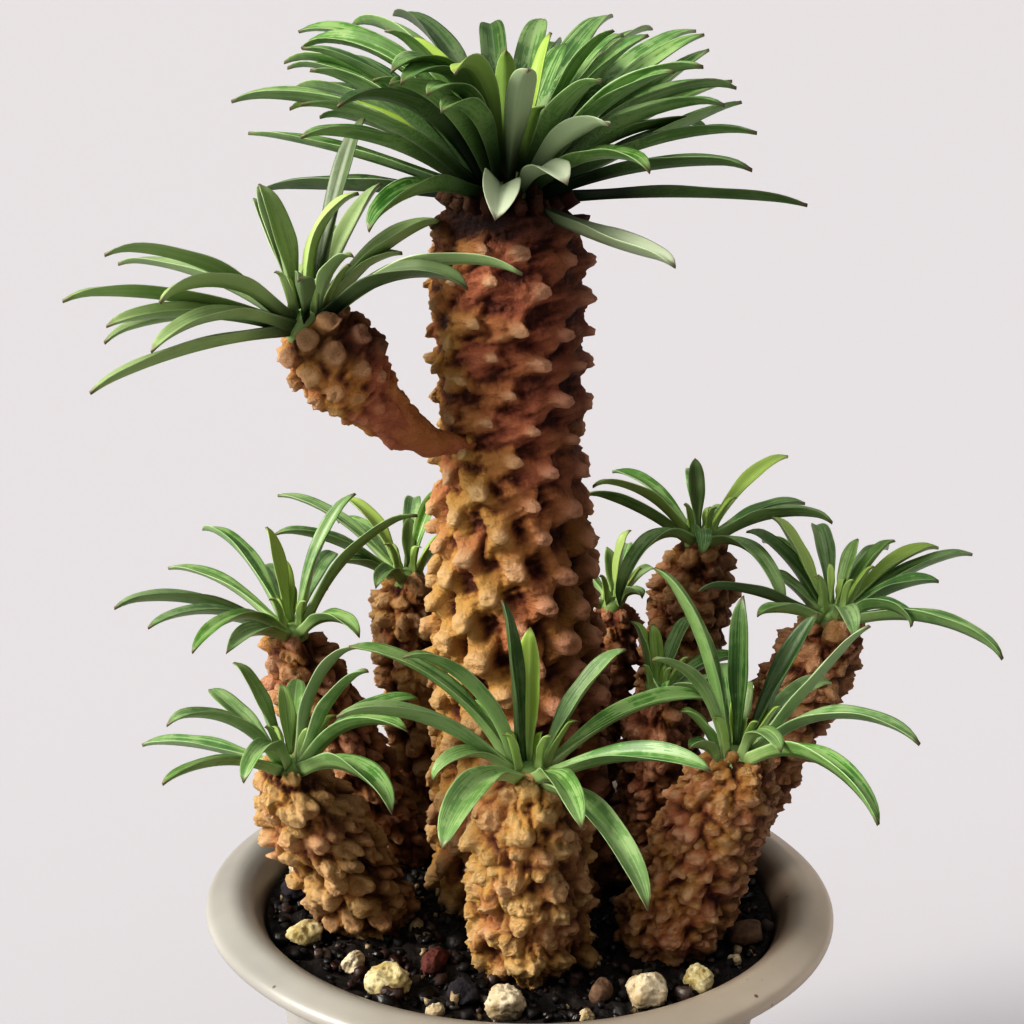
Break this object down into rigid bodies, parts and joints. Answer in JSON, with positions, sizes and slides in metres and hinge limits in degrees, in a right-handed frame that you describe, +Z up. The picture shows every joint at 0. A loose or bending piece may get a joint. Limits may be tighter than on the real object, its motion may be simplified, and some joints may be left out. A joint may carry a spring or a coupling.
{
  "type": "potted euphorbia",
  "caption": "Potted succulent euphorbia: a trunk covered with blunt tubercles, a side branch and a ring of leafy offsets in gritty soil, in a wide-lipped glazed pot.",
  "frame": {"origin": "centre of the pot's flat foot, on the pot's axis", "axes": "+Z up along the pot's axis, -Y the front of the plant as the picture shows it"},
  "size_m": [0.202, 0.1622, 0.2986],
  "materials": {
    "glaze": "satin beige-grey glaze",
    "soil": "dark, damp, gritty",
    "bark": "matt ochre to red-brown skin",
    "leaf": "satin green leaf",
    "stone_cream": "matt porous pumice",
    "stone_yellow": "matt porous pumice",
    "stone_lava": "matt porous lava",
    "stone_black": "matt porous lava",
    "stone_brown": "smooth pebble"
  },
  "bodies": {
    "root": {"pot": "glaze", "soil": "soil", "trunk": "bark", "crown_leaves": "leaf", "branch_leaves": "leaf", "offset_a": "bark", "leaves_a": "leaf", "offset_b": "bark", "leaves_b": "leaf", "offset_c": "bark", "leaves_c": "leaf", "offset_d": "bark", "leaves_d": "leaf", "offset_e": "bark", "leaves_e": "leaf", "offset_f": "bark", "leaves_f": "leaf", "offset_g": "bark", "leaves_g": "leaf", "offset_h": "bark", "leaves_h": "leaf", "offset_j": "bark", "leaves_j": "leaf", "stone_1": "stone_cream", "stone_2": "stone_black", "stone_3": "stone_yellow", "stone_4": "stone_cream", "stone_5": "stone_yellow", "stone_6": "stone_lava", "stone_7": "stone_black", "stone_8": "stone_cream", "stone_9": "stone_cream", "stone_10": "stone_brown", "stone_11": "stone_cream", "stone_12": "stone_cream", "stone_13": "stone_yellow", "stone_14": "stone_cream", "stone_15": "stone_brown"}
  },
  "joints": []
}
